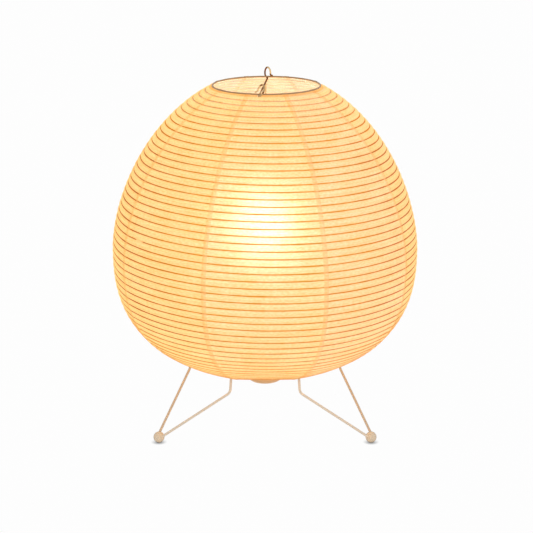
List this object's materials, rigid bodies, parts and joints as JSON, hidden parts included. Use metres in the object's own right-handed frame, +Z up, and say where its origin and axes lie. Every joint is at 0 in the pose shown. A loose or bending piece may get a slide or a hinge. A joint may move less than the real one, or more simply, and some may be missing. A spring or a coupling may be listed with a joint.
{
  "type": "lantern table lamp",
  "caption": "Paper lantern table lamp: egg-shaped gored paper shade over a spiral bamboo rib, held open by a hooked wire stretcher, on V-shaped wire legs with ball feet and a screw-in bulb.",
  "frame": {"origin": "floor level on the lamp's vertical axis, midway between the feet", "axes": "+Z up along the stem, -Y towards the front that the picture shows, +X to the picture's right"},
  "size_m": [0.4796, 0.4796, 0.563],
  "materials": {
    "washi_paper": "matt laid paper, lit from inside",
    "split_bamboo": "raw split bamboo",
    "hem_wire": "dull brown wire",
    "cream_enamel": "satin cream enamel",
    "ball_enamel": "satin cream enamel on turned wood",
    "tan_enamel": "satin tan enamel",
    "bright_wire": "drawn brassed wire",
    "zinc_plate": "zinc plated",
    "brass": "bright",
    "white_phenolic": "moulded",
    "porcelain": "glazed",
    "black_rubber": "matt",
    "black_insulator": "black vitrite",
    "opal_glass": "opal, lit",
    "clear_glass": "clear",
    "filament_coat": "glowing"
  },
  "bodies": {
    "lamp": {"paper_gore_front": "washi_paper", "paper_gore_front_right": "washi_paper", "paper_gore_right": "washi_paper", "paper_gore_rear_right": "washi_paper", "paper_gore_rear": "washi_paper", "paper_gore_rear_left": "washi_paper", "paper_gore_left": "washi_paper", "paper_gore_front_left": "washi_paper", "bamboo_rib": "split_bamboo", "top_ring": "hem_wire", "bottom_ring": "hem_wire", "leg_left": "cream_enamel", "leg_right": "cream_enamel", "leg_rear": "cream_enamel", "foot_ball_left": "ball_enamel", "foot_ball_right": "ball_enamel", "foot_ball_rear": "ball_enamel", "stand_ring": "cream_enamel", "spoke_left": "cream_enamel", "spoke_right": "cream_enamel", "spoke_rear": "cream_enamel", "hub_plate": "zinc_plate", "hub_washer": "zinc_plate", "hub_nut": "zinc_plate", "bottom_cap": "tan_enamel", "cap_nut": "tan_enamel", "cord_gland": "black_rubber", "stem_tube": "zinc_plate", "holder_nut": "zinc_plate", "stretcher_crossbar": "bright_wire", "stretcher_upright_front": "bright_wire", "stretcher_upright_rear": "bright_wire", "stretcher_saddle": "zinc_plate", "stretcher_socket_front": "zinc_plate", "stretcher_socket_rear": "zinc_plate", "holder_base": "white_phenolic", "holder_shell": "white_phenolic", "holder_insert": "porcelain", "terminal_screw_live": "brass", "terminal_screw_neutral": "brass", "centre_contact": "brass", "screw_shell": "brass"},
    "bulb_lift": {"bulb_contact": "brass"},
    "bulb": {"bulb_globe": "opal_glass", "bulb_cap": "brass", "bulb_insulator": "black_insulator", "bulb_stem": "clear_glass", "bulb_filament": "filament_coat"}
  },
  "joints": [
    {"name": "bulb_rise", "type": "slide", "parent": "lamp", "child": "bulb_lift", "axis": [0, 0, 1], "range_m": [0, 0.0109]},
    {"name": "bulb_turn", "type": "hinge", "parent": "bulb_lift", "child": "bulb", "pos_m": [0, 0, 0.2603], "axis": [0, 0, 1], "range_deg": [0, 1080]}
  ],
  "couplings": [
    {"joint": "bulb_rise", "follows": "bulb_turn", "m_per_rad": 0.00057773}
  ]
}
